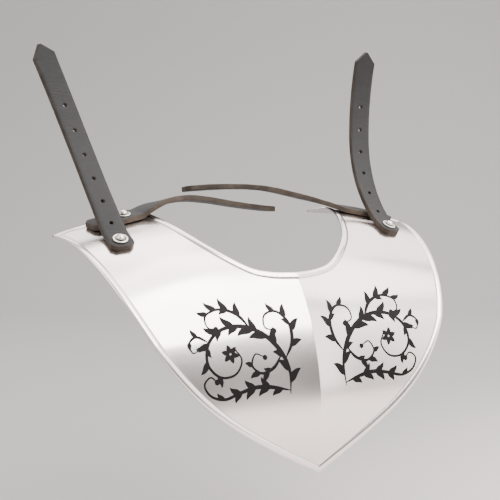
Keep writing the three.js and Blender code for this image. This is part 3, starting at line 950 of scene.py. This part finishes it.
# Node group for a shared effect, which gives a colour, a roughness and a height for the bump.
def newEffect(name, inputs):
    tree = bpy.data.node_groups.new(name, "ShaderNodeTree")
    for label, value in inputs.items():
        kind = "NodeSocketColor" if isinstance(value, tuple) else "NodeSocketFloat"
        socket = tree.interface.new_socket(label, in_out="INPUT", socket_type=kind)
        socket.default_value = value
    tree.interface.new_socket("Color", in_out="OUTPUT", socket_type="NodeSocketColor")
    tree.interface.new_socket("Roughness", in_out="OUTPUT", socket_type="NodeSocketFloat")
    tree.interface.new_socket("Height", in_out="OUTPUT", socket_type="NodeSocketFloat")
    start = tree.nodes.new("NodeGroupInput").outputs
    end = tree.nodes.new("NodeGroupOutput").inputs
    return tree, start, end


# Material with the colour, roughness and bump of an effect, whose inputs are the look's own values.
def makeSurface(name, look, group, bumpDepth):
    material, tree, shader = newMaterial(name)
    effect = addNode(tree, "ShaderNodeGroup", node_tree=group)
    for socket in effect.inputs:
        socket.default_value = look[socket.name.lower()]
    bump = addNode(tree, "ShaderNodeBump", {
        "Strength": look["bump"], "Distance": bumpDepth, "Height": effect.outputs["Height"],
    })
    feed(tree, shader.inputs["Base Color"], effect.outputs["Color"])
    feed(tree, shader.inputs["Roughness"], effect.outputs["Roughness"])
    feed(tree, shader.inputs["Normal"], bump.outputs["Normal"])
    return material, shader


# Fine polishing lines and soft smudges, for all bare metal.
def makePolishGroup():
    tree, start, end = newEffect("polishedMetal", {
        "Tint": (0.8, 0.8, 0.8, 1), "Dull": 0.25, "Smudge": 0.06, "Scale": 1.0,
    })
    sized = addNode(
        tree, "ShaderNodeVectorMath", {0: objectPlace(tree), "Scale": start["Scale"]}, operation="SCALE",
    ).outputs[0]
    lines = noiseNode(tree, stretchedPlace(tree, sized, (60, 60, 900)), 1.0, 4.0, 0.6)
    cloud = rangeNode(tree, noiseNode(tree, sized, 11.0, 3.0, 0.5), 0.35, 0.7)
    smudge = mathNode(tree, "MULTIPLY", cloud, start["Smudge"])
    dulled = mathNode(tree, "ADD", start["Dull"], smudge)
    lineAmount = mathNode(tree, "MULTIPLY", lines, 0.06)
    feed(tree, end["Color"], mixNode(tree, smudge, start["Tint"], (0.86, 0.85, 0.86, 1), "MULTIPLY"))
    feed(tree, end["Roughness"], mathNode(tree, "ADD", dulled, lineAmount))
    feed(tree, end["Height"], lines)
    return tree


metals = {
    "polishedSteel": {
        "tint": (0.93, 0.862, 0.832, 1), "dull": 0.15, "smudge": 0.04, "scale": 1, "bump": 0.01,
    },
    # darker copy of the polished steel, for painted shade in the border's inner corner
    "seamShadeSteel": {
        "tint": (0.42, 0.38, 0.37, 1), "dull": 0.3, "smudge": 0.1, "scale": 1, "bump": 0.01,
    },
    # brighter copy of the polished steel, for a painted highlight along the crease
    "crestHighlightSteel": {
        "tint": (1, 0.97, 0.955, 1), "dull": 0.12, "smudge": 0, "scale": 1, "bump": 0,
    },
    "insideSteel": {
        "tint": (0.5, 0.475, 0.465, 1), "dull": 0.3, "smudge": 0.3, "scale": 1, "bump": 0.06,
    },
    "brightNickel": {
        "tint": (0.95, 0.92, 0.85, 1), "dull": 0.2, "smudge": 0.06, "scale": 3, "bump": 0.02,
    },
    # darker, duller copy of the nickel, for painted shade in the washer's dish
    "dullShadedNickel": {
        "tint": (0.3, 0.28, 0.26, 1), "dull": 0.35, "smudge": 0.2, "scale": 3, "bump": 0.05,
    },
    "etchedDark": {
        "tint": (0.02, 0.018, 0.018, 1), "dull": 0.45, "smudge": 0.1, "scale": 2, "bump": 0.05,
    },
}


def makeMetal(name, group):
    material, shader = makeSurface(name, metals[name], group, bumpDepth=0.0002)
    shader.inputs["Metallic"].default_value = 1.0
    return material


# Pebbled leather grain with cross wrinkles and lighter rubbed tops.
def makeGrainGroup():
    tree, start, end = newEffect("leatherGrain", {
        "Color": (0.05, 0.05, 0.05, 1), "Rubbed": (0.2, 0.18, 0.17, 1),
        "Grain": 900.0, "Wrinkle": 1.0, "Wear": 0.3,
    })
    place = objectPlace(tree)
    pebbleValues = {"Vector": place, "Scale": start["Grain"]}
    pebble = addNode(tree, "ShaderNodeTexVoronoi", pebbleValues, feature="F1").outputs["Distance"]
    folds = noiseNode(tree, stretchedPlace(tree, place, (70, 70, 620)), 1.0, 5.0, 0.62)
    foldAmount = mathNode(tree, "MULTIPLY", folds, start["Wrinkle"])
    pebbleAmount = mathNode(tree, "MULTIPLY", pebble, 0.35)
    patch = noiseNode(tree, place, 45.0, 6.0, 0.6)
    worn = mathNode(tree, "MULTIPLY", rangeNode(tree, patch, 0.42, 0.72), start["Wear"])
    ridges = rangeNode(tree, foldAmount, 0.5, 0.75, 0.0, 0.22)
    lighter = mathNode(tree, "ADD", worn, ridges, use_clamp=True)
    feed(tree, end["Color"], mixNode(tree, lighter, start["Color"], start["Rubbed"]))
    feed(tree, end["Roughness"], rangeNode(tree, patch, 0.0, 1.0, 0.5, 0.68))
    feed(tree, end["Height"], mathNode(tree, "ADD", pebbleAmount, foldAmount))
    return tree


leathers = {
    "leatherFace": {
        "color": (0.018, 0.017, 0.0185, 1), "rubbed": (0.042, 0.04, 0.04, 1),
        "grain": 1100, "wrinkle": 1, "wear": 0.3, "bump": 0.35, "specular": 0.33,
    },
    "leatherEdge": {
        "color": (0.035, 0.025, 0.018, 1), "rubbed": (0.1, 0.074, 0.055, 1),
        "grain": 1800, "wrinkle": 0.8, "wear": 0.8, "bump": 0.35, "specular": 0.3,
    },
}


def makeLeather(name, group):
    look = leathers[name]
    material, shader = makeSurface(name, look, group, bumpDepth=0.0009)
    shader.inputs["Specular IOR Level"].default_value = look["specular"]
    return material


polish = makePolishGroup()
grain = makeGrainGroup()
materials = {name: makeMetal(name, polish) for name in metals}
materials.update({name: makeLeather(name, grain) for name in leathers})
print("materials made:", ", ".join(materials))


def giveMaterials(obj, *names):
    for name in names:
        obj.data.materials.append(materials[name])


def finishPiece(obj, slotName, *nodes):
    if nodes:
        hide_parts(*nodes)
    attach(obj, "root")


sheet = buildPlate()
giveMaterials(sheet, "polishedSteel", "seamShadeSteel", "crestHighlightSteel", "insideSteel")
finishPiece(sheet, "plate", "breastplate")

bore = fitting["shankRadius"] + fitting["clearance"]
# the washer's dish takes the darker nickel, painted shade in the hollow round the dome
dull = (bore, fitting["washerRadius"] - fitting["shadedDish"])
punched = [
    (strap["firstHole"] + i * strap["holePitch"], strap["holeRadius"]) for i in range(strap["holes"])
]
for sideName, lie in hang.items():
    label = sideName.capitalize()
    side = lie["side"]
    etched = buildScroll(side)
    giveMaterials(etched, "etchedDark")
    finishPiece(etched, "plate")

    holes = [(0, bore)] + punched
    long = buildStrap("shoulderStrap" + label, shoulderOutline(), holes, shoulderRoute(lie))
    giveMaterials(long, "leatherFace", "leatherEdge")
    finishPiece(long, "leather", "shoulder_strap_" + sideName)

    short = buildStrap("backStrap" + label, backOutline(lie), [(0, bore)], backRoute(lie))
    giveMaterials(short, "leatherFace", "leatherEdge")
    finishPiece(short, "leather", "back_strap_" + sideName)

    seats = (("shoulder", lie["shoulderOut"], lie["shoulderUp"]), ("back", *backPlace(lie, 0)))
    for kind, out, up in seats:
        seat = sheetFrame(side * out, up)
        washer = lathe(kind + "Washer" + label, washerProfile(), seat, dull)
        rivet = lathe(kind + "Rivet" + label, rivetProfile(), seat)
        giveMaterials(washer, "brightNickel", "dullShadedNickel")
        giveMaterials(rivet, "brightNickel")
        finishPiece(washer, "fittings", kind + "_washer_" + sideName)
        finishPiece(rivet, "fittings", kind + "_rivet_" + sideName)
print("straps, rivets and washers placed")

# Camera where the photograph was taken from.
camera = {
    "azimuth": -32.0,
    "elevation": 5.0,
    "place": (-0.5548, -0.7784, 0.1584),
    "lens": 73.7,
    "sensor": 36,
    "clipEnd": 50,
}


def buildCamera():
    data = bpy.data.cameras.new("camera")
    data.lens = camera["lens"]
    data.sensor_width = camera["sensor"]
    data.clip_end = camera["clipEnd"]
    obj = bpy.data.objects.new("camera", data)
    azimuth = math.radians(camera["azimuth"])
    elevation = math.radians(camera["elevation"])
    right = Vector((math.cos(azimuth), math.sin(azimuth), 0))
    forward = Vector((
        -math.sin(azimuth) * math.cos(elevation),
        math.cos(azimuth) * math.cos(elevation),
        -math.sin(elevation),
    ))
    upward = right.cross(forward)
    turn = Matrix((right, upward, -forward)).transposed().to_4x4()
    obj.matrix_world = Matrix.Translation(camera["place"]) @ turn
    bpy.context.scene.collection.objects.link(obj)
    bpy.context.scene.camera = obj


# Pale floor that curves up into a wall far behind, with a painted pool of light on it, and soft studio
# lights.
studio = {
    "floorZ": -0.24,
    "floorFront": 3.5,
    "wallBehind": 2.6,
    "wallTop": 1.5,
    "curveRadius": 0.9,
    "curveSteps": 24,
    "halfWidth": 5.0,
    # the paper is grey with a painted pool of light in front of the plate
    "paperInPaintedPool": (0.85, 0.785, 0.745, 1),
    "paperGrey": (0.4, 0.398, 0.395, 1),
    "paintedPoolMiddle": (0.75, -0.95, -0.24),
    "paintedPoolReach": (0.7, 1.6),
    "world": (1, 0.965, 0.945, 1),
    "worldStrength": 0.98,
    # the darker side of the room: its direction from the plate, how wide and how dark it is
    "darkSide": (0.36, -0.925, 0.12),
    "darkReach": 0.952,
    "darkTone": (0.3, 0.29, 0.29, 1),
    # name, azimuth from the front, elevation, distance, width, height, brightness, colour
    "lights": [
        ("keyPanel", 29, 46, 2.4, 1.15, 1.65, 9.0, (1, 0.985, 0.975)),
        ("highPanel", 63, 55, 2.4, 1.05, 1.8, 4.0, (1, 0.95, 0.92)),
        ("rightPanel", 64, 14, 2.4, 2.0, 1.5, 2.0, (1, 0.94, 0.905)),
        ("sidePanel", 115, 52, 2.4, 1.8, 2.0, 2.3, (1, 0.925, 0.89)),
        ("topPanel", 160, 80, 2.4, 1.5, 1.5, 2.8, (1, 0.95, 0.92)),
        ("leftPanel", -85, 35, 2.6, 1.6, 1.5, 3.2, (1, 0.98, 0.965)),
        ("backPanel", 172, 40, 2.3, 1.3, 1.0, 1.8, (1, 0.98, 0.965)),
    ],
}


def buildBackdrop():
    low, radius = studio["floorZ"], studio["curveRadius"]
    profile = [(-studio["floorFront"], low)]
    for share in evenShares(studio["curveSteps"]):
        angle = math.pi / 2 * share
        profile.append((
            studio["wallBehind"] - radius + radius * math.sin(angle),
            low + radius - radius * math.cos(angle),
        ))
    profile.append((studio["wallBehind"], low + studio["wallTop"]))
    turn = math.radians(camera["azimuth"])
    right = Vector((math.cos(turn), math.sin(turn), 0))
    away = Vector((-math.sin(turn), math.cos(turn), 0))
    points = []
    for along, height in profile:
        for sideways in (-studio["halfWidth"], studio["halfWidth"]):
            points.append(right * sideways + away * along + Vector((0, 0, height)))
    faces = [[2 * i, 2 * i + 1, 2 * i + 3, 2 * i + 2] for i in range(len(profile) - 1)]
    backdrop = meshObject("backdrop", points, faces, 1)
    material, tree, shader = newMaterial("palePaper")
    shader.inputs["Roughness"].default_value = 0.9
    # the paper is painted brighter round the middle of the pool and greyer away from it, painted light, not
    # a lamp
    far = addNode(
        tree, "ShaderNodeVectorMath", {0: objectPlace(tree), 1: studio["paintedPoolMiddle"]}, operation="DISTANCE",
    ).outputs["Value"]
    fade = rangeNode(tree, far, *studio["paintedPoolReach"], fade="SMOOTHSTEP")
    paper = mixNode(tree, fade, studio["paperInPaintedPool"], studio["paperGrey"])
    feed(tree, shader.inputs["Base Color"], paper)
    backdrop.data.materials.append(material)


def buildWorld():
    world = bpy.data.worlds.new("studio")
    world.use_nodes = True
    tree = world.node_tree
    background = tree.nodes["Background"]
    background.inputs["Strength"].default_value = studio["worldStrength"]
    direction = addNode(tree, "ShaderNodeTexCoord").outputs["Generated"]
    dark = addNode(
        tree, "ShaderNodeVectorMath", {0: direction, 1: studio["darkSide"]}, operation="DOT_PRODUCT",
    ).outputs["Value"]
    reach = rangeNode(tree, dark, studio["darkReach"], 1.0, fade="SMOOTHSTEP")
    feed(tree, background.inputs["Color"], mixNode(tree, reach, studio["world"], studio["darkTone"]))
    bpy.context.scene.world = world


def buildLights():
    for name, azimuth, elevation, distance, width, height, brightness, tint in studio["lights"]:
        data = bpy.data.lights.new(name, "AREA")
        data.shape = "RECTANGLE"
        data.size = width
        data.size_y = height
        data.energy = brightness * math.pi * width * height
        data.color = tint
        obj = bpy.data.objects.new(name, data)
        turn, rise = math.radians(azimuth), math.radians(elevation)
        flat = math.cos(rise)
        obj.location = Vector((flat * math.sin(turn), -flat * math.cos(turn), math.sin(rise))) * distance
        obj.rotation_euler = (-obj.location).to_track_quat("-Z", "Y").to_euler()
        obj.visible_camera = False
        bpy.context.scene.collection.objects.link(obj)


buildCamera()
buildBackdrop()
buildWorld()
buildLights()
print("camera and studio ready")
